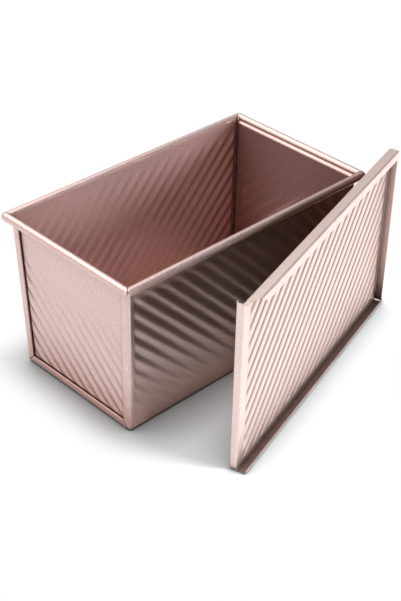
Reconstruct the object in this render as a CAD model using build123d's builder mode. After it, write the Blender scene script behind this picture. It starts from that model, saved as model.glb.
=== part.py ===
from build123d import *

import os
from math import ceil, cos, radians, sin, sqrt, tan

# Pullman loaf pan with its sliding lid taken off and stood on its lower rail.
# Millimetres and degrees. The origin is the centre of the base, Z is up, X runs along the
# pan, and the lid stands in front of the long wall at -Y.

# Sheet, wire and folds
sheet = 0.8
wire = 3.8
wire_clearance = 0.1
bend = 1.6
hem_layers = 2
hem_rounding = 0.7
hem_corner = 0.3
seat_clearance = 0.05
mitre_gap = 0.5
roll_turn = 300.0
joggle_turn = 60.0
overrun = 10.0

# Pan, measured over its rims
rim_length = 213.0
rim_width = 120.4
pan_height = 114.3
draft = 2.05
strip_width = 6.3
corner_land = 1.2

# Ribs pressed into the sheet
rib_pitch = 8.3
rib_depth = 1.1
floor_rib_depth = 0.7
wall_margin = 2.3
wall_top_margin = 2.0
wall_foot_margin = 5.0
floor_margin = 6.0
frame_clearance = 0.3

# Lid, standing upright on its lower rail
lid_corner_x = -74.7
lid_corner_y = -121.7
lid_yaw = 17.06
slide_clearance = 1.0
stop_clearance = 0.7
lift_clearance = 0.3
wall_clearance = 0.3
lid_bend = 0.7
lower_lip = 3.0
rail_taper = 8.8
lip_taper = 8.7
stop_depth = 6.3
stop_drop = 1.5
pull_depth = 5.4
pull_hook = 1.6
seam_gap = 0.3
lid_near_margin = 7.2
lid_margin = 3.0
lid_rib_depth = 1.0

# Sizes worked out from those above
roll = wire + 2 * (wire_clearance + sheet)
roll_height = pan_height - roll / 2
hem = hem_layers * sheet
flare = tan(radians(draft))
joggle = hem + seat_clearance
joggle_radius = joggle / (2 * (1 - cos(radians(joggle_turn))))
joggle_rise = 2 * joggle_radius * sin(radians(joggle_turn))
strip_top = roll_height - joggle_rise - seat_clearance
rail_depth = roll + lift_clearance + 2 * sheet
upper_lip = roll + slide_clearance - wall_clearance
lid_length = rim_length + stop_clearance + sheet
lid_width = rim_width + 2 * (slide_clearance + sheet)


def end_face(height):
    """Half of the pan's length over its end frames, at a height."""
    return rim_length / 2 - roll + sheet - (roll_height - height) * flare


def side_face(height):
    """Half of the pan's width over its long walls, at a height."""
    return rim_width / 2 - roll + sheet - (roll_height - height) * flare


def tapered_block(low, high, inset_x, inset_y, radius, round_corners):
    """A block with the pan's draft, inside its outer faces, rounded like the folded sheet."""
    with BuildPart() as block:
        with BuildSketch(Plane.XY.offset(low)):
            Rectangle(2 * (end_face(low) - inset_x), 2 * (side_face(low) - inset_y))
        extrude(amount=high - low, taper=-draft)
        floor_edges = block.faces().sort_by(Axis.Z)[0].edges()
        roof_edges = block.faces().sort_by(Axis.Z)[-1].edges()
        if round_corners:
            fillet(block.edges() - roof_edges, radius)
        else:
            fillet(floor_edges.filter_by(Axis.X), radius)
    return block.part


def ribbed_sheet(wall, reach, depth):
    """Sheet with slanting ribs, centred on a plane and running down to the right on its face."""
    along = wall.x_dir - wall.y_dir
    across = wall.x_dir + wall.y_dir
    half_pitch = rib_pitch / 2
    count = ceil(reach / half_pitch)
    edge = count * half_pitch
    with BuildPart() as ribs:
        with BuildSketch(Plane(origin=wall.origin, x_dir=across, z_dir=along)):
            with BuildLine():
                for step in range(-count, count):
                    start = step * half_pitch
                    crest = depth / 2 if step % 2 else -depth / 2
                    for face in (-sheet / 2, sheet / 2):
                        ThreePointArc(
                            (start, face),
                            (start + half_pitch / 2, face + crest),
                            (start + half_pitch, face),
                        )
                Line((-edge, -sheet / 2), (-edge, sheet / 2))
                Line((edge, -sheet / 2), (edge, sheet / 2))
            make_face()
        extrude(amount=reach, both=True)
    return ribs.part


def ribbed_field(wall, outline, depth):
    """The ribbed sheet that fills an outline drawn on a wall's middle plane."""
    reach = max(Vector(*point).length for point in outline) + rib_pitch
    with BuildPart() as field:
        add(ribbed_sheet(wall, reach, depth))
        with BuildSketch(wall):
            with BuildLine():
                Polyline(*outline, close=True)
            make_face()
        extrude(amount=depth + sheet, both=True, mode=Mode.INTERSECT)
    return field.part


def field_opening(wall, outline, depth):
    """The hole that a ribbed field fills in its plain wall."""
    with BuildPart() as opening:
        with BuildSketch(wall):
            with BuildLine():
                Polyline(*outline, close=True)
            make_face()
        extrude(amount=depth + sheet, both=True)
    return opening.part


def sloped_outline(low, high, middle, half_width):
    """A field's corners on a sloping wall, from a function that gives its half width."""
    slope = cos(radians(draft))
    foot = (low - middle) / slope
    head = (high - middle) / slope
    return [
        (-half_width(low), foot),
        (half_width(low), foot),
        (half_width(high), head),
        (-half_width(high), head),
    ]


def rolled_edge(plane, length):
    """A rolled edge whose sheet rises at its inner side, on a plane centred on the roll."""
    with BuildPart() as edge:
        with BuildSketch(plane):
            with BuildLine():
                outer = CenterArc((0, 0), roll / 2, 180, -roll_turn)
                inner = CenterArc((0, 0), roll / 2 - sheet, 180, -roll_turn)
                Line(outer @ 0, inner @ 0)
                Line(outer @ 1, inner @ 1)
            make_face()
        extrude(amount=length / 2, both=True)
    return edge.part


def end_zones(low, high, growth):
    """Wedges over both short ends, bounded by the rim's mitres, grown by a gap."""
    step = growth * sqrt(2)
    outside = overrun + rim_length / 2
    inside = rim_length / 2 - roll - overrun
    spread = rim_width / 2 - rim_length / 2 + step
    with BuildPart() as zones:
        with BuildSketch(Plane.XY.offset(low)):
            for side in (-1, 1):
                with BuildLine():
                    Polyline(
                        (side * inside, -inside - spread),
                        (side * outside, -outside - spread),
                        (side * outside, outside + spread),
                        (side * inside, inside + spread),
                        close=True,
                    )
                make_face()
        extrude(amount=high - low)
    return zones.part


# Pan shell: long walls and base folded from one sheet, with hemmed frames at both ends
long_middle = (strip_width + roll_height) / 2
long_outline = sloped_outline(
    bend + wall_foot_margin,
    roll_height - roll / 2 - wall_top_margin,
    long_middle,
    lambda height: end_face(height) - bend - wall_margin,
)
slit_middle = (strip_width + corner_land) / 2
slit_length = (strip_width - corner_land) * sqrt(2)
floor_length = 2 * (end_face(0) - hem - floor_margin)
floor_width = 2 * (side_face(0) - bend - floor_margin)
floor_plane = Plane(
    origin=(0, 0, (sheet + floor_rib_depth) / 2), x_dir=(1, 0, 0), z_dir=(0, 0, -1)
)
floor_outline = [
    (-floor_length / 2, -floor_width / 2),
    (floor_length / 2, -floor_width / 2),
    (floor_length / 2, floor_width / 2),
    (-floor_length / 2, floor_width / 2),
]


def in_window(face):
    """Whether a face lies along the frame window's border."""
    middle = face.center()
    return (
        abs(face.normal_at(middle).X) < sin(radians(45))
        and middle.Z > strip_width - hem_corner
        and abs(middle.Y) < side_face(middle.Z) - strip_width + hem_corner
    )


with BuildPart() as pan_shell:
    add(tapered_block(0, roll_height, 0, 0, bend + sheet, True))
    add(tapered_block(sheet, roll_height, hem, sheet, bend, False), mode=Mode.SUBTRACT)

    # Frame window in both end walls, with rounded hems around it
    with BuildSketch(Plane.YZ) as window:
        with BuildLine():
            Polyline(
                (-side_face(strip_width) + strip_width, strip_width),
                (side_face(strip_width) - strip_width, strip_width),
                (side_face(pan_height) - strip_width, pan_height),
                (-side_face(pan_height) + strip_width, pan_height),
                close=True,
            )
        make_face()
    extrude(amount=rim_length / 2, both=True, mode=Mode.SUBTRACT)
    fillet(pan_shell.edges(Select.LAST).filter_by(Axis.X).group_by(Axis.Z)[0], hem_corner)
    hems = pan_shell.faces().filter_by(in_window)
    borders = hems.edges() - hems.edges().filter_by(Axis.X)
    fillet(borders - borders.group_by(Axis.Z)[-1], hem_rounding)

    # Open top of both ends, where the end plates rise into their own rims
    with BuildSketch(Plane.YZ):
        with BuildLine():
            Polyline(
                (-side_face(strip_top) + sheet, strip_top),
                (side_face(strip_top) - sheet, strip_top),
                (side_face(pan_height) - sheet, pan_height),
                (-side_face(pan_height) + sheet, pan_height),
                close=True,
            )
        make_face()
    extrude(amount=rim_length / 2, both=True, mode=Mode.SUBTRACT)

    # Rolled long rims, then the mitres at the four corners
    for side in (-1, 1):
        rim = Plane(
            origin=(0, side * (rim_width - roll) / 2, roll_height),
            x_dir=(0, side, 0),
            z_dir=(side, 0, 0),
        )
        add(rolled_edge(rim, rim_length))
    add(end_zones(strip_top, pan_height + overrun, mitre_gap / 2), mode=Mode.SUBTRACT)

    # Mitre slits at the lower corners of the end frames
    for side in (-1, 1):
        corner = Plane(
            origin=(0, side * (side_face(slit_middle) - slit_middle), slit_middle),
            x_dir=(0, side, -1),
            z_dir=(-side, 0, 0),
        )
        with BuildSketch(corner):
            Rectangle(slit_length, mitre_gap)
        extrude(amount=rim_length / 2, both=True, mode=Mode.SUBTRACT)

    # Ribbed long walls
    for side in (-1, 1):
        wall = Plane(
            origin=(0, side * (side_face(long_middle) - sheet / 2), long_middle),
            x_dir=(-side, 0, 0),
            z_dir=(0, side * cos(radians(draft)), -sin(radians(draft))),
        )
        add(field_opening(wall, long_outline, rib_depth), mode=Mode.SUBTRACT)
        add(ribbed_field(wall, long_outline, rib_depth))

    # Ribbed base, whose lowest crests lie level with its margin
    add(field_opening(floor_plane, floor_outline, rib_depth), mode=Mode.SUBTRACT)
    add(ribbed_field(floor_plane, floor_outline, floor_rib_depth))

# End plate, hooked out over the frame's top into its own rolled rim
draft_cos = cos(radians(draft))
draft_sin = sin(radians(draft))
plate_section = Plane(
    origin=(-(rim_length - roll) / 2, 0, roll_height),
    x_dir=(-draft_cos, 0, -draft_sin),
    z_dir=(0, 1, 0),
)
plate_face = sheet - roll / 2
plate_gap = sheet + seat_clearance
plate_foot = (plate_gap - roll_height) / draft_cos
plate_middle = plate_section.from_local_coords(
    Vector(plate_face - joggle - sheet / 2, (plate_foot - joggle_rise) / 2, 0)
)
plate_plane = Plane(
    origin=plate_middle, x_dir=(0, -1, 0), z_dir=(-draft_cos, 0, -draft_sin)
)
plate_outline = sloped_outline(
    strip_width + frame_clearance,
    strip_top - wall_top_margin,
    plate_middle.Z,
    lambda height: side_face(height) - strip_width - frame_clearance,
)

with BuildPart() as end_rim:
    add(rolled_edge(plate_section, rim_width))
    add(end_zones(0, pan_height + overrun, -mitre_gap / 2), mode=Mode.INTERSECT)

with BuildPart() as near_end_plate:
    with BuildSketch(plate_section):
        with BuildLine():
            with BuildLine() as face_line:
                top_bend = JernArc(
                    (plate_face, 0), (0, -1), joggle_radius + sheet / 2, -joggle_turn
                )
                foot_bend = JernArc(
                    top_bend @ 1, top_bend % 1, joggle_radius - sheet / 2, joggle_turn
                )
                Line(foot_bend @ 1, (plate_face - joggle, plate_foot))
            offset(face_line.line, amount=sheet, side=Side.RIGHT)
        make_face()
    extrude(amount=rim_width / 2, both=True)

    # Outline that fits between the long walls and on the base
    with BuildSketch(Plane.YZ) as fitted:
        with BuildLine():
            Polyline(
                (-side_face(plate_gap) + plate_gap, plate_gap),
                (side_face(plate_gap) - plate_gap, plate_gap),
                (side_face(pan_height) - plate_gap, pan_height),
                (-side_face(pan_height) + plate_gap, pan_height),
                close=True,
            )
        make_face()
        fillet(fitted.vertices().group_by(Axis.Y)[0], bend)
    extrude(amount=rim_length, both=True, mode=Mode.INTERSECT)
    add(field_opening(plate_plane, plate_outline, rib_depth), mode=Mode.SUBTRACT)
    add(ribbed_field(plate_plane, plate_outline, rib_depth))

    add(end_rim.part)

with BuildPart() as far_end_plate:
    add(near_end_plate.part, rotation=(0, 0, 180))


# Wires inside the rolled rims
def rim_wire(plane, length):
    """Straight wire along a plane's normal."""
    with BuildPart() as rod:
        with BuildSketch(plane):
            Circle(wire / 2)
        extrude(amount=length / 2, both=True)
    return rod.part


long_wire = rim_length - roll - wire - 2 * mitre_gap
short_wire = rim_width - roll - wire - 2 * mitre_gap
wire_places = {
    "front_rim_wire": ((0, (roll - rim_width) / 2, roll_height), (1, 0, 0), long_wire),
    "back_rim_wire": ((0, (rim_width - roll) / 2, roll_height), (1, 0, 0), long_wire),
    "near_end_rim_wire": (((roll - rim_length) / 2, 0, roll_height), (0, 1, 0), short_wire),
    "far_end_rim_wire": (((rim_length - roll) / 2, 0, roll_height), (0, 1, 0), short_wire),
}

# Lid: a channel that slides over the long rims, open at its near end
lid_along = Vector(cos(radians(lid_yaw)), sin(radians(lid_yaw)), 0)
lid_under = Vector(sin(radians(lid_yaw)), -cos(radians(lid_yaw)), 0)
lid_up = Vector(0, 0, 1)
lid_corner = Vector(lid_corner_x, lid_corner_y, 0)
lid_fold = lid_bend + sheet
lid_section = Plane(origin=lid_corner, x_dir=lid_up, z_dir=lid_along)
lid_side = Plane(origin=lid_corner, x_dir=lid_along, z_dir=-lid_up)
lid_face = Plane(origin=lid_corner, x_dir=lid_along, z_dir=lid_under)
lid_ribs = Plane(
    origin=lid_corner
    + lid_along * (lid_length / 2)
    + lid_up * (lid_width / 2)
    + lid_under * (sheet / 2),
    x_dir=-lid_along,
    z_dir=-lid_under,
)
lid_field_far = lid_length / 2 - lid_margin
lid_field_near = lid_length / 2 - lid_near_margin
lid_field_y = lid_width / 2 - lid_margin
lid_outline = [
    (-lid_field_far, -lid_field_y),
    (lid_field_near, -lid_field_y),
    (lid_field_near, lid_field_y),
    (-lid_field_far, lid_field_y),
]


def folded_strip(plane, corners, low, high):
    """Sheet folded along a line of corners and run from a low to a high place of its width."""
    with BuildPart() as strip:
        with BuildSketch(plane.offset(-high)):
            with BuildLine():
                with BuildLine() as face_line:
                    FilletPolyline(*corners, radius=lid_fold)
                offset(face_line.line, amount=sheet, side=Side.LEFT)
            make_face()
        extrude(amount=high - low)
    return strip.part


with BuildPart() as lid:
    add(
        folded_strip(
            lid_section,
            [
                (lower_lip, rail_depth),
                (0, rail_depth),
                (0, 0),
                (lid_width, 0),
                (lid_width, rail_depth),
                (lid_width - upper_lip, rail_depth),
            ],
            sheet + seam_gap - lid_length,
            0,
        )
    )

    # The panel's two short edges make way for their folds
    for start, stop in ((-overrun, lid_fold), (lid_length - lid_fold, lid_length + overrun)):
        with BuildSketch(lid_face):
            with BuildLine():
                Polyline(
                    (start, lid_fold),
                    (stop, lid_fold),
                    (stop, lid_width - lid_fold),
                    (start, lid_width - lid_fold),
                    close=True,
                )
            make_face()
        extrude(amount=lid_fold, both=True, mode=Mode.SUBTRACT)

    # Slanting cut that tapers the upper rail's near end, first its web and then its lip
    with BuildSketch(lid_side.offset(-lid_width - overrun)):
        with BuildLine():
            Polyline(
                (-overrun, sheet),
                (0, sheet),
                (rail_taper, rail_depth),
                (rail_taper, rail_depth + overrun),
                (-overrun, rail_depth + overrun),
                close=True,
            )
        make_face()
    extrude(amount=upper_lip + 2 * overrun, mode=Mode.SUBTRACT)
    with BuildSketch(lid_face.offset(rail_depth - lid_fold)):
        with BuildLine():
            Polyline(
                (rail_taper - overrun, lid_width),
                (rail_taper, lid_width),
                (rail_taper + lip_taper, lid_width - upper_lip),
                (rail_taper + lip_taper, lid_width - upper_lip - overrun),
                (rail_taper - overrun, lid_width - upper_lip - overrun),
                close=True,
            )
        make_face()
    extrude(amount=lid_fold + overrun, mode=Mode.SUBTRACT)

    # Pull edge, folded back from the underside and hooked
    add(
        folded_strip(
            lid_side,
            [
                (2 * lid_fold, sheet),
                (0, sheet),
                (0, sheet - pull_depth),
                (pull_hook + lid_fold, sheet - pull_depth),
            ],
            lid_fold,
            lid_width - lid_fold,
        )
    )

    # Stop edge, folded towards the pan
    add(
        folded_strip(
            lid_side,
            [
                (lid_length - 2 * lid_fold, 0),
                (lid_length, 0),
                (lid_length, stop_depth),
            ],
            lid_fold,
            lid_width - stop_drop,
        )
    )

    add(field_opening(lid_ribs, lid_outline, lid_rib_depth), mode=Mode.SUBTRACT)
    add(ribbed_field(lid_ribs, lid_outline, lid_rib_depth))


# The lid's rails are parted from its panel along their folds, so that their collision
# pieces leave the channel between them open
def rail_block(low, high):
    """Block over one rail, from the end of its fold to past its lip."""
    with BuildPart() as block:
        with BuildSketch(lid_face.offset(lid_fold + seam_gap)):
            with BuildLine():
                Polyline(
                    (-overrun, low),
                    (lid_length - sheet - seam_gap / 2, low),
                    (lid_length - sheet - seam_gap / 2, high),
                    (-overrun, high),
                    close=True,
                )
            make_face()
        extrude(amount=rail_depth)
    return block.part


rail_blocks = {
    "lid_lower_rail": rail_block(-overrun, rail_depth),
    "lid_upper_rail": rail_block(lid_width - rail_depth, lid_width + overrun),
}

with BuildPart() as lid_panel:
    add(lid.part)
    for block in rail_blocks.values():
        add(block, mode=Mode.SUBTRACT)

# Pieces written one to a file
pieces = {
    "pan_shell": pan_shell.part,
    "near_end_plate": near_end_plate.part,
    "far_end_plate": far_end_plate.part,
    "lid_panel": lid_panel.part,
}
for name, block in rail_blocks.items():
    with BuildPart() as rail:
        add(lid.part)
        add(block, mode=Mode.INTERSECT)
    pieces[name] = rail.part
for name, (place, direction, length) in wire_places.items():
    pieces[name] = rim_wire(Plane(origin=place, z_dir=direction), length)

os.makedirs("parts", exist_ok=True)
for name, piece in pieces.items():
    piece.label = name
    export_step(piece, f"parts/{name}.step")
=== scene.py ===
import math

import bmesh
import bpy
from mathutils import Matrix, Vector


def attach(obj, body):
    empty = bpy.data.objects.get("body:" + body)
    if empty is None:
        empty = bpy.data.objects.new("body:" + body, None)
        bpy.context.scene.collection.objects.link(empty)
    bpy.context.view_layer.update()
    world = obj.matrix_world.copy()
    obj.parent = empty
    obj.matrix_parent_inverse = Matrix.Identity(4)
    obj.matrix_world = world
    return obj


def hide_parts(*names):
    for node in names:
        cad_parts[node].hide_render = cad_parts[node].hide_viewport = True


# Pullman loaf pan of ribbed, coated steel sheet, with its sliding lid taken off and stood
# upright in front of it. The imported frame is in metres.
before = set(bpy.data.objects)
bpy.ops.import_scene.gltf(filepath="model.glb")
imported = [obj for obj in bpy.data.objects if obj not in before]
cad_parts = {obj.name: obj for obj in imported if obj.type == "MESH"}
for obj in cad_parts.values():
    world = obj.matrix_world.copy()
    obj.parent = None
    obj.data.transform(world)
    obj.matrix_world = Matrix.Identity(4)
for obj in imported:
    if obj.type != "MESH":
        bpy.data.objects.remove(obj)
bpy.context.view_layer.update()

MM = 0.001

# Sheet and folds, as the construction has them
SHEET = 0.8 * MM
BEND = 1.6 * MM
WIRE = 3.8 * MM
WIRE_CLEARANCE = 0.1 * MM
HEM = 2 * SHEET
SEAT_CLEARANCE = 0.05 * MM
JOGGLE_TURN = math.radians(60.0)

# Pan over its rims
RIM_LENGTH = 213.0 * MM
RIM_WIDTH = 120.4 * MM
PAN_HEIGHT = 114.3 * MM
DRAFT = math.radians(2.05)
STRIP_WIDTH = 6.3 * MM

# Ribs
RIB_PITCH = 8.3 * MM
RIB_SLANT = math.radians(45.0)
RIB_DEPTH = 0.9 * MM
PLATE_RIB_DEPTH = 0.8 * MM
FLOOR_RIB_DEPTH = 0.7 * MM
WALL_MARGIN = 2.3 * MM
WALL_TOP_MARGIN = 2.0 * MM
WALL_FOOT_MARGIN = 5.0 * MM
FLOOR_MARGIN = 6.0 * MM
FRAME_CLEARANCE = 0.3 * MM

# Lid
LID_CORNER = Vector((-74.7 * MM, -121.7 * MM, 0.0))
LID_YAW = math.radians(17.06)
SLIDE_CLEARANCE = 1.0 * MM
STOP_CLEARANCE = 0.7 * MM
LID_NEAR_MARGIN = 7.2 * MM
LID_MARGIN = 3.0 * MM
LID_RIB_DEPTH = 1.0 * MM
LID_RIB_SHARPNESS = 4

# Outer corners of the rims and of the lid's far end
CORNER_BEND = 3.0 * MM

# Sizes that follow from those
ROLL = WIRE + 2 * (WIRE_CLEARANCE + SHEET)
ROLL_HEIGHT = PAN_HEIGHT - ROLL / 2
JOGGLE = HEM + SEAT_CLEARANCE
JOGGLE_RADIUS = JOGGLE / (2 * (1 - math.cos(JOGGLE_TURN)))
JOGGLE_RISE = 2 * JOGGLE_RADIUS * math.sin(JOGGLE_TURN)
STRIP_TOP = ROLL_HEIGHT - JOGGLE_RISE - SEAT_CLEARANCE
LID_LENGTH = RIM_LENGTH + STOP_CLEARANCE + SHEET
LID_WIDTH = RIM_WIDTH + 2 * (SLIDE_CLEARANCE + SHEET)


def end_face(height):
    """Half of the pan's length over its end frames, at a height."""
    return RIM_LENGTH / 2 - ROLL + SHEET - (ROLL_HEIGHT - height) * math.tan(DRAFT)


def side_face(height):
    """Half of the pan's width over its long walls, at a height."""
    return RIM_WIDTH / 2 - ROLL + SHEET - (ROLL_HEIGHT - height) * math.tan(DRAFT)


def placed(origin, right, outward):
    """A wall's own frame: right and up on its outer side, and outward."""
    right, outward = Vector(right).normalized(), Vector(outward).normalized()
    rows = Matrix((right, outward.cross(right), outward)).transposed()
    return Matrix.Translation(origin) @ rows.to_4x4()


def sloped_corners(low, high, middle, half_width):
    """Corners of a field on a sloping wall, counter-clockwise from the lower left."""
    foot = (low - middle) / math.cos(DRAFT)
    head = (high - middle) / math.cos(DRAFT)
    return [
        Vector((-half_width(low), foot)),
        Vector((half_width(low), foot)),
        Vector((half_width(high), head)),
        Vector((-half_width(high), head)),
    ]


def square_corners(half_x, half_y):
    """Corners of a level field, counter-clockwise from the lower left."""
    return [
        Vector((-half_x, -half_y)),
        Vector((half_x, -half_y)),
        Vector((half_x, half_y)),
        Vector((-half_x, half_y)),
    ]


# Ribbed panels: steps of their grids, and cuts as shares of a fade
ACROSS_STEPS = 14
ALONG_STEP = 5.0 * MM
FADE_CUTS = (0.0, 0.15, 0.3, 0.5, 0.7, 0.85, 1.0)

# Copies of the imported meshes: cuts as shares of a corner's bend, and how near counts as there
BEND_CUTS = (1.0, 0.75, 0.5, 0.25)
CUT_REACH = 0.0001 * MM
MERGE_REACH = 0.001 * MM
FIELD_SLACK = 0.01 * MM

# Edges that turn by more are shaded sharp
SHARP_EDGE = math.radians(35.0)


def borders(corners):
    """Each side of a field: a point on it and its direction into the field."""
    for start, end in zip(corners, corners[1:] + corners[:1]):
        side = (end - start).normalized()
        yield start, Vector((-side.y, side.x))


def cut(bm, point, normal, clear_outer=False):
    """Cuts a mesh along a plane, and clears what lies on its outer side if asked to."""
    bmesh.ops.bisect_plane(
        bm,
        geom=bm.verts[:] + bm.edges[:] + bm.faces[:],
        dist=CUT_REACH,
        plane_co=point,
        plane_no=normal,
        clear_outer=clear_outer,
    )


def smooth(share):
    """Eases from 0 to 1 as a share goes from 0 to 1."""
    share = min(max(share, 0.0), 1.0)
    return share * share * (3 - 2 * share)


def ribbed_panel(name, place, corners, depth, fades, body, nodes, level=0.5, sharpness=1):
    """Sheet with slanting ribs that die away over a distance of their own at each side.

    The level is the share of a crest's height that lies flush with the plain sheet around.
    A sharpness over 1 narrows the grooves of the inner side and widens the lands between
    them, and the hollow attribute then holds how deep in a groove each point lies, for the
    painted shade in the grooves.
    """
    reach = max(corner.length for corner in corners) + RIB_PITCH
    columns = round(2 * reach / (RIB_PITCH / ACROSS_STEPS))
    rows = round(2 * reach / ALONG_STEP)
    bm = bmesh.new()
    slant = Matrix.Rotation(RIB_SLANT, 4, "Z")
    bmesh.ops.create_grid(bm, x_segments=columns, y_segments=rows, size=reach, matrix=slant)
    sides = list(zip(borders(corners), fades))
    for share in FADE_CUTS:
        for (point, inward), fade in sides:
            border = point + inward * fade * share
            cut(bm, border.to_3d(), (-inward).to_3d(), clear_outer=share == 0.0)
    across = Vector((math.cos(RIB_SLANT), math.sin(RIB_SLANT)))
    hollows = bm.verts.layers.float.new("hollow")
    for vert in bm.verts:
        spot = vert.co.xy
        wave = math.sin(2 * math.pi * spot.dot(across) / RIB_PITCH)
        crest = ((1 - wave) / 2) ** sharpness
        strength = 1.0
        for (point, inward), fade in sides:
            strength *= smooth((spot - point).dot(inward) / fade)
        vert.co.z = SHEET / 2 + depth * (crest - level) * strength
        vert[hollows] = crest * strength if sharpness > 1 else 0.0
    bmesh.ops.solidify(bm, geom=bm.faces[:], thickness=SHEET)
    bmesh.ops.recalc_face_normals(bm, faces=bm.faces[:])
    bm.transform(place)
    return finished(bm, name, body, nodes)


def finished(bm, name, body, nodes):
    """A bmesh made into a named object that rides on a body and stands for its nodes."""
    mesh = bpy.data.meshes.new(name)
    bm.to_mesh(mesh)
    bm.free()
    mesh.shade_smooth()
    mesh.set_sharp_from_angle(angle=SHARP_EDGE)
    piece = bpy.data.objects.new(name, mesh)
    bpy.context.scene.collection.objects.link(piece)
    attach(piece, body)
    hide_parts(*nodes)
    return piece


def bend_corners(bm, place, half_x, half_y, ends):
    """Turns the square outer corners of a sheet's outline into bends, each layer with its own.

    The ends are the signs of x at which the outline has such corners.
    """
    bm.transform(place.inverted())
    length, width = Vector((1, 0, 0)), Vector((0, 1, 0))
    for axis, half, signs in ((length, half_x, ends), (width, half_y, (-1, 1))):
        for sign in signs:
            for share in BEND_CUTS:
                cut(bm, axis * sign * (half - CORNER_BEND * share), axis)
    for vert in bm.verts:
        beyond_x = abs(vert.co.x) - half_x + CORNER_BEND
        beyond_y = abs(vert.co.y) - half_y + CORNER_BEND
        side_x, side_y = math.copysign(1, vert.co.x), math.copysign(1, vert.co.y)
        if beyond_x > 0 and beyond_y > 0 and side_x in ends:
            drawn_in = 1 - max(beyond_x, beyond_y) / math.hypot(beyond_x, beyond_y)
            vert.co.x -= side_x * beyond_x * drawn_in
            vert.co.y -= side_y * beyond_y * drawn_in
    bm.transform(place)


def opened_copy(node, name, fields, body, *outline):
    """A copy of a node's mesh, with bent corners, whose ribbed fields are cut out for panels."""
    bm = bmesh.new()
    bm.from_mesh(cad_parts[node].data)
    bmesh.ops.remove_doubles(bm, verts=bm.verts, dist=MERGE_REACH)
    bend_corners(bm, *outline)
    for place, corners in fields:
        inverse = place.inverted()
        doomed = []
        for face in bm.faces:
            spot = inverse @ face.calc_center_median()
            if abs(spot.z) < 2 * SHEET and all(
                (spot.xy - point).dot(inward) > -FIELD_SLACK for point, inward in borders(corners)
            ):
                doomed.append(face)
        bmesh.ops.delete(bm, geom=doomed, context="FACES")
        rim = [edge for edge in bm.edges if edge.is_boundary]
        bmesh.ops.bridge_loops(bm, edges=rim)
    piece = finished(bm, name, body, [node])
    weighted = piece.modifiers.new("flat faces stay flat", "WEIGHTED_NORMAL")
    weighted.keep_sharp = True
    return piece


# Fields of the pan
wall_middle = (STRIP_WIDTH + ROLL_HEIGHT) / 2
wall_corners = sloped_corners(
    BEND + WALL_FOOT_MARGIN,
    ROLL_HEIGHT - ROLL / 2 - WALL_TOP_MARGIN,
    wall_middle,
    lambda height: end_face(height) - BEND - WALL_MARGIN,
)
wall_places = {
    side: placed(
        (0, side * (side_face(wall_middle) - SHEET / 2), wall_middle),
        (-side, 0, 0),
        (0, side * math.cos(DRAFT), -math.sin(DRAFT)),
    )
    for side in (-1, 1)
}
base_place = placed((0, 0, (SHEET + FLOOR_RIB_DEPTH) / 2), (1, 0, 0), (0, 0, -1))
base_corners = square_corners(
    end_face(0) - HEM - FLOOR_MARGIN, side_face(0) - BEND - FLOOR_MARGIN
)

plate_low = SHEET + SEAT_CLEARANCE
plate_middle = (plate_low + STRIP_TOP) / 2
plate_corners = sloped_corners(
    STRIP_WIDTH + FRAME_CLEARANCE,
    STRIP_TOP - WALL_TOP_MARGIN,
    plate_middle,
    lambda height: side_face(height) - STRIP_WIDTH - FRAME_CLEARANCE,
)
plate_places = {
    side: placed(
        (side * (end_face(plate_middle) - JOGGLE - SHEET / 2), 0, plate_middle),
        (0, side, 0),
        (side * math.cos(DRAFT), 0, -math.sin(DRAFT)),
    )
    for side in (-1, 1)
}

# Field of the lid
along = Vector((math.cos(LID_YAW), math.sin(LID_YAW), 0))
under = Vector((math.sin(LID_YAW), -math.cos(LID_YAW), 0))
up = Vector((0, 0, 1))
lid_place = placed(
    LID_CORNER + along * LID_LENGTH / 2 + up * LID_WIDTH / 2 + under * SHEET / 2, -along, -under
)
lid_corners = square_corners(LID_LENGTH / 2 - LID_MARGIN, LID_WIDTH / 2 - LID_MARGIN)
# The plain border is wider at the near end
for corner in lid_corners[1:3]:
    corner.x = LID_LENGTH / 2 - LID_NEAR_MARGIN

# Outlines whose corners are bent
rim_outline = (Matrix.Identity(4), RIM_LENGTH / 2, RIM_WIDTH / 2, (-1, 1))
lid_outline = (lid_place, LID_LENGTH / 2, LID_WIDTH / 2, (-1,))

# How far from each border the ribs die away: below, right, above and left
base_fades = (3 * MM, 3 * MM, 3 * MM, 3 * MM)
lid_fades = (2 * MM, 3 * MM, 2 * MM, 2 * MM)
wall_fades = (16 * MM, 2 * MM, 9 * MM, 2 * MM)
plate_fades = (3 * MM, 3 * MM, 55 * MM, 3 * MM)

# Pieces
pan_pieces = [
    opened_copy(
        "pan_shell",
        "pan_shell_frame",
        [(wall_places[side], wall_corners) for side in (-1, 1)] + [(base_place, base_corners)],
        "pan",
        *rim_outline,
    )
]
for side, word in ((-1, "front"), (1, "back")):
    pan_pieces.append(
        ribbed_panel(
            f"{word}_wall_ribs",
            wall_places[side],
            wall_corners,
            RIB_DEPTH,
            wall_fades,
            "pan",
            ["pan_shell"],
            level=1.0,
        )
    )
pan_pieces.append(
    ribbed_panel(
        "base_ribs", base_place, base_corners, FLOOR_RIB_DEPTH, base_fades, "pan", ["pan_shell"]
    )
)
for side, word in ((-1, "near"), (1, "far")):
    node = f"{word}_end_plate"
    pan_pieces.append(
        opened_copy(
            node,
            f"{word}_end_rim",
            [(plate_places[side], plate_corners)],
            "pan",
            *rim_outline,
        )
    )
    pan_pieces.append(
        ribbed_panel(
            f"{word}_end_ribs",
            plate_places[side],
            plate_corners,
            PLATE_RIB_DEPTH,
            plate_fades,
            "pan",
            [node],
            level=1.0,
        )
    )
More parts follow.
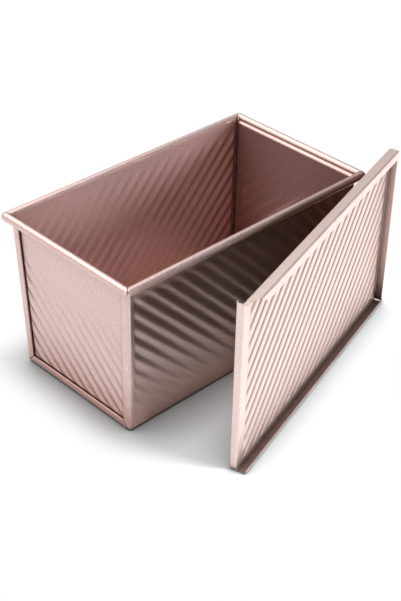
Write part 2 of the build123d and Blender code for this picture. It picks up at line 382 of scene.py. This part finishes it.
lid_pieces = [
    opened_copy("lid_panel", "lid_frame", [(lid_place, lid_corners)], "lid", *lid_outline),
    opened_copy("lid_upper_rail", "upper_rail_fold", [], "lid", *lid_outline),
    opened_copy("lid_lower_rail", "lower_rail_fold", [], "lid", *lid_outline),
    ribbed_panel(
        "lid_ribs",
        lid_place,
        lid_corners,
        LID_RIB_DEPTH,
        lid_fades,
        "lid",
        ["lid_panel"],
        sharpness=LID_RIB_SHARPNESS,
    ),
]


# Materials
WHITE = "#ffffff"
# Painted shade: the dark line in the coat's corners and creases
CREASE_SHADE_TINT = "#2a1a14"
CREASE_SHADE_CONTRAST = 1.7
NEAR_SHADE_REACH = 50.0 * MM
OCCLUSION_SAMPLES = 8


def linear(code):
    """An sRGB hex colour as linear red, green, blue and alpha."""
    parts = [int(code[i : i + 2], 16) / 255 for i in (1, 3, 5)]
    return [p / 12.92 if p <= 0.04045 else ((p + 0.055) / 1.055) ** 2.4 for p in parts] + [1.0]


def add_node(tree, kind, inputs=(), **settings):
    """A node with its settings. Each input takes a value, or a link from another node."""
    node = tree.nodes.new(kind)
    for name, value in settings.items():
        setattr(node, name, value)
    for name, value in dict(inputs).items():
        if isinstance(value, bpy.types.NodeSocket):
            tree.links.new(value, node.inputs[name])
        else:
            node.inputs[name].default_value = value
    return node


def arithmetic(tree, operation, *operands, clamped=False):
    """The value of a math node."""
    return add_node(
        tree,
        "ShaderNodeMath",
        dict(enumerate(operands)),
        operation=operation,
        use_clamp=clamped,
    ).outputs["Value"]


def part_along(tree, vector, direction):
    """How far a vector goes in a direction."""
    return add_node(
        tree, "ShaderNodeVectorMath", {0: vector, 1: direction}, operation="DOT_PRODUCT"
    ).outputs["Value"]


def eased(tree, value, start, end, low=0.0, high=1.0):
    """A value that goes smoothly from low to high between a start and an end."""
    return add_node(
        tree,
        "ShaderNodeMapRange",
        {"Value": value, "From Min": start, "From Max": end, "To Min": low, "To Max": high},
        interpolation_type="SMOOTHSTEP",
    ).outputs["Result"]


def blended(tree, factor, first, second, blend_type="MIX"):
    """The colour of a mix node."""
    return add_node(
        tree,
        "ShaderNodeMix",
        {"Factor": factor, "A": first, "B": second},
        data_type="RGBA",
        blend_type=blend_type,
    ).outputs["Result"]


def openness(tree, reach):
    """The share of the view outward that nothing within reach hides."""
    return add_node(
        tree, "ShaderNodeAmbientOcclusion", {"Distance": reach}, samples=OCCLUSION_SAMPLES
    ).outputs["AO"]


def grained(tree, size, **inputs):
    """Noise of a grain size, fixed to the object."""
    place = add_node(tree, "ShaderNodeTexCoord").outputs["Object"]
    return add_node(
        tree, "ShaderNodeTexNoise", {"Vector": place, "Scale": 1 / size, "Detail": 2.0, **inputs}
    ).outputs["Fac"]


def new_material(name):
    """An empty node material and its tree."""
    material = bpy.data.materials.new(name)
    material.use_nodes = True
    material.node_tree.nodes.clear()
    return material, material.node_tree


def champagne_coat(
    name, low_tint, high_tint, groove_shade_tint, near_shade_tint, crease_shade_width, mirrored_shade_tint, dim_side
):
    """Champagne non-stick coat, baked on steel sheet: satin, metallic, finely grained.

    Painted shade darkens narrow corners and the grooves, and a painted shade darkens the dim
    side of a sheet where another one mirrors it. Where other sheets or the floor stand close in
    front, the coat takes on the near shade tint, a painted shade. The crease shade width is the
    width of the painted dark line of shade in a corner.
    """
    material, tree = new_material(name)
    grain = grained(tree, size=0.9 * MM, Roughness=0.6)
    tint = blended(tree, grain, linear(low_tint), linear(high_tint))
    # Painted shade in the grooves: the deeper a point lies in a groove, the darker the coat
    hollow = add_node(tree, "ShaderNodeAttribute", attribute_name="hollow").outputs["Fac"]
    groove_shaded = blended(tree, hollow, tint, linear(groove_shade_tint), "MULTIPLY")
    # Painted shade: the dim side of a sheet is darker where another sheet mirrors it
    mirror = add_node(tree, "ShaderNodeLightPath").outputs["Is Glossy Ray"]
    normal = add_node(tree, "ShaderNodeNewGeometry").outputs["Normal"]
    facing = part_along(tree, normal, dim_side)
    dim = arithmetic(tree, "MULTIPLY", facing, mirror, clamped=True)
    mirrored = blended(tree, dim, groove_shaded, linear(mirrored_shade_tint), "MULTIPLY")
    # Painted shade: the coat turns toward the near shade tint where other sheets or the floor
    # stand close
    enclosed_shade = blended(tree, openness(tree, NEAR_SHADE_REACH), linear(near_shade_tint), linear(WHITE))
    near_shaded = blended(tree, 1.0, mirrored, enclosed_shade, "MULTIPLY")
    # Painted shade in narrow corners and creases, where little of the view outward is open
    open_share = arithmetic(tree, "POWER", openness(tree, crease_shade_width), CREASE_SHADE_CONTRAST)
    shaded = blended(tree, open_share, linear(CREASE_SHADE_TINT), near_shaded)
    bump = add_node(
        tree, "ShaderNodeBump", {"Strength": 0.15, "Distance": 0.05 * MM, "Height": grain}
    )
    coat = add_node(
        tree,
        "ShaderNodeBsdfPrincipled",
        {
            "Metallic": 0.85,
            "Roughness": 0.32,
            "Base Color": shaded,
            "Normal": bump.outputs["Normal"],
        },
    )
    add_node(tree, "ShaderNodeOutputMaterial", {"Surface": coat.outputs["BSDF"]})
    return material


def drawn_wire():
    """Bright drawn steel wire, faintly mottled."""
    material, tree = new_material("drawn_steel_wire")
    tint = blended(tree, grained(tree, size=0.5 * MM), linear("#8c8c8e"), linear("#a6a6a8"))
    steel = add_node(
        tree,
        "ShaderNodeBsdfPrincipled",
        {"Metallic": 1.0, "Roughness": 0.3, "Base Color": tint},
    )
    add_node(tree, "ShaderNodeOutputMaterial", {"Surface": steel.outputs["BSDF"]})
    return material


pan_coat = champagne_coat(
    "champagne_nonstick_coat",
    low_tint="#c0a09b",
    high_tint="#fde3df",
    groove_shade_tint="#7e604f",
    near_shade_tint="#b88560",
    crease_shade_width=3.5 * MM,
    mirrored_shade_tint="#c9b5aa",
    dim_side=Vector((0, -1, 0)),
)
# The lid's copy of the same coat has paler tints, as painted light, and painted shades of its own
lid_coat_painted_lighter = champagne_coat(
    "champagne_nonstick_coat_of_lid_painted_lighter",
    low_tint="#dcbfb7",
    high_tint="#ffefea",
    groove_shade_tint="#b39a8c",
    near_shade_tint="#b8a79d",
    crease_shade_width=4.8 * MM,
    mirrored_shade_tint="#6f4c35",
    dim_side=-under,
)
for pieces, coat in ((pan_pieces, pan_coat), (lid_pieces, lid_coat_painted_lighter)):
    for piece in pieces:
        piece.data.materials.clear()
        piece.data.materials.append(coat)
steel = drawn_wire()
for node in ("front_rim_wire", "back_rim_wire", "near_end_rim_wire", "far_end_rim_wire"):
    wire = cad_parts[node]
    wire.data.materials.clear()
    wire.data.materials.append(steel)

# Floor
FLOOR_SIZE = 6.0
CONTACT_SHADOW_REACH = 35.0 * MM
CLEAR_REACH = 36.0 * MM
COVERED_REACH = 22.0 * MM

bm = bmesh.new()
bmesh.ops.create_grid(bm, x_segments=1, y_segments=1, size=FLOOR_SIZE / 2)
floor_mesh = bpy.data.meshes.new("floor")
bm.to_mesh(floor_mesh)
bm.free()
floor = bpy.data.objects.new("floor", floor_mesh)
bpy.context.scene.collection.objects.link(floor)

# How far a point of the floor lies outside the outline of pan and lid together
lid_foot = LID_CORNER + under * ROLL
footprint = [
    Vector((end_face(0), side_face(0), 0)),
    Vector((-end_face(0), side_face(0), 0)),
    Vector((-end_face(0), -side_face(0), 0)),
    lid_foot,
    lid_foot + along * LID_LENGTH,
]
white, tree = new_material("paper_sweep_with_painted_shadow")
place = add_node(tree, "ShaderNodeTexCoord").outputs["Object"]
distances = []
for start, end in zip(footprint, footprint[1:] + footprint[:1]):
    outward = (end - start).cross(up).normalized()
    reached = part_along(tree, place, outward)
    distances.append(arithmetic(tree, "SUBTRACT", reached, outward.dot(start)))
outside = distances[0]
for distance in distances[1:]:
    outside = arithmetic(tree, "MAXIMUM", outside, distance)

# Close to the object the paper's colour is darkened by a painted contact shadow, on top of the
# lamps' own shadows, and away from it the paper turns to plain white, as in a cut-out product
# photograph. The sheet mirrors that white, and none of the painted shadow from outside the
# outline.
rays = add_node(tree, "ShaderNodeLightPath").outputs
seen = arithmetic(tree, "MAXIMUM", rays["Is Camera Ray"], rays["Is Glossy Ray"])
clear_share = arithmetic(tree, "MULTIPLY", eased(tree, outside, 0.0, CLEAR_REACH), seen)
uncovered = eased(tree, outside, -COVERED_REACH, 0.0)
# Painted contact shadow: the paper's colour goes toward dark grey where little of the view is open
contact_shadow = openness(tree, CONTACT_SHADOW_REACH)
lifted = arithmetic(tree, "MULTIPLY_ADD", rays["Is Glossy Ray"], uncovered, contact_shadow)
shade = blended(
    tree, arithmetic(tree, "MINIMUM", lifted, 1.0), linear("#484b4e"), linear("#f1f6f7")
)
paper = add_node(tree, "ShaderNodeBsdfDiffuse", {"Color": shade})
glow = add_node(tree, "ShaderNodeEmission", {"Color": linear(WHITE), "Strength": 1.0})
sweep = add_node(
    tree,
    "ShaderNodeMixShader",
    {"Fac": clear_share, 1: paper.outputs["BSDF"], 2: glow.outputs["Emission"]},
)
add_node(tree, "ShaderNodeOutputMaterial", {"Surface": sweep.outputs["Shader"]})
floor_mesh.materials.append(white)

# The room is dark where the sheet mirrors it, but for a pale wall behind it on the left
BRIGHT_SIDE = Vector((-0.5, 0.75, 0.45))
world = bpy.data.worlds.new("studio")
bpy.context.scene.world = world
world.use_nodes = True
tree = world.node_tree
tree.nodes.clear()
rays = add_node(tree, "ShaderNodeLightPath").outputs
outward = add_node(tree, "ShaderNodeTexCoord").outputs["Generated"]
toward = part_along(tree, outward, BRIGHT_SIDE.normalized())
wall_light = eased(tree, toward, start=0.3, end=0.95, low=0.06, high=0.95)
fill = add_node(tree, "ShaderNodeBackground", {"Color": linear("#dfe6ee"), "Strength": 0.1})
dusk = add_node(tree, "ShaderNodeBackground", {"Color": linear("#f3d9cb"), "Strength": wall_light})
clear = add_node(tree, "ShaderNodeBackground", {"Color": linear(WHITE), "Strength": 1.0})
room = add_node(
    tree,
    "ShaderNodeMixShader",
    {"Fac": rays["Is Glossy Ray"], 1: fill.outputs["Background"], 2: dusk.outputs["Background"]},
)
sky = add_node(
    tree,
    "ShaderNodeMixShader",
    {"Fac": rays["Is Camera Ray"], 1: room.outputs["Shader"], 2: clear.outputs["Background"]},
)
add_node(tree, "ShaderNodeOutputWorld", {"Surface": sky.outputs["Shader"]})


def softbox(name, place, target, width, height, power, mirrored=True, spread=180):
    """A rectangular area lamp that points at a target.

    One that is not mirrored lights the sheet without showing in it. A spread of under 180
    degrees narrows the beam, as a grid on the lamp does.
    """
    data = bpy.data.lights.new(name, "AREA")
    data.shape = "RECTANGLE"
    data.size, data.size_y = width, height
    data.energy = power
    data.spread = math.radians(spread)
    lamp = bpy.data.objects.new(name, data)
    bpy.context.scene.collection.objects.link(lamp)
    lamp.location = place
    lamp.rotation_euler = (Vector(target) - Vector(place)).to_track_quat("-Z", "Y").to_euler()
    lamp.visible_glossy = mirrored


# Lamps: place, target, width and height in metres, and power in watts
TOP_PLACE = (-0.1, 0.36, 1.2)
TOP_SIZE = 1.7
MIDDLE = (0, 0, 0.05)
NEAR_END = (-0.1, 0, 0.06)
LID_FRONT = (-0.12, -0.14, 0.06)
softbox("top_softbox", TOP_PLACE, MIDDLE, TOP_SIZE, TOP_SIZE, 14)
softbox("ceiling_bounce", TOP_PLACE, MIDDLE, TOP_SIZE, TOP_SIZE, 18, mirrored=False)
softbox("back_card", (0.75, 0.75, 0.75), MIDDLE, 1.4, 1.0, 1.6)
softbox("front_softbox", (0.0, -0.5, 1.2), MIDDLE, 0.8, 0.8, 2.5)
softbox("left_softbox", (-1.2, -0.05, 0.4), NEAR_END, 0.8, 0.4, 2.6)
softbox("right_softbox", (0.72, -1.12, 0.4), LID_FRONT, 0.9, 0.3, 4.7, mirrored=False, spread=46)

# The photograph's viewpoint, measured from the pan's edges
CAMERA_PLACE = Vector((-527.4, -543.1, 548.5)) * MM
CAMERA_AZIMUTH = math.radians(-44.85)
CAMERA_ELEVATION = math.radians(34.44)
CAMERA_ROLL = math.radians(1.45)
FOCAL_PIXELS = 1350.0
PHOTO_HEIGHT = 601
SENSOR_HEIGHT = 24.0

ahead = Vector((
    -math.sin(CAMERA_AZIMUTH) * math.cos(CAMERA_ELEVATION),
    math.cos(CAMERA_AZIMUTH) * math.cos(CAMERA_ELEVATION),
    -math.sin(CAMERA_ELEVATION),
))
level = ahead.cross(up).normalized()
upright = level.cross(ahead)
turned = level * math.cos(CAMERA_ROLL) + upright * math.sin(CAMERA_ROLL)
rows = Matrix((turned, turned.cross(ahead), -ahead)).transposed()
lens = bpy.data.cameras.new("camera")
lens.sensor_fit = "VERTICAL"
lens.sensor_height = SENSOR_HEIGHT
lens.lens = SENSOR_HEIGHT * FOCAL_PIXELS / PHOTO_HEIGHT
camera = bpy.data.objects.new("camera", lens)
camera.matrix_world = Matrix.Translation(CAMERA_PLACE) @ rows.to_4x4()
bpy.context.scene.collection.objects.link(camera)
bpy.context.scene.camera = camera

bpy.context.scene.view_settings.view_transform = "Standard"
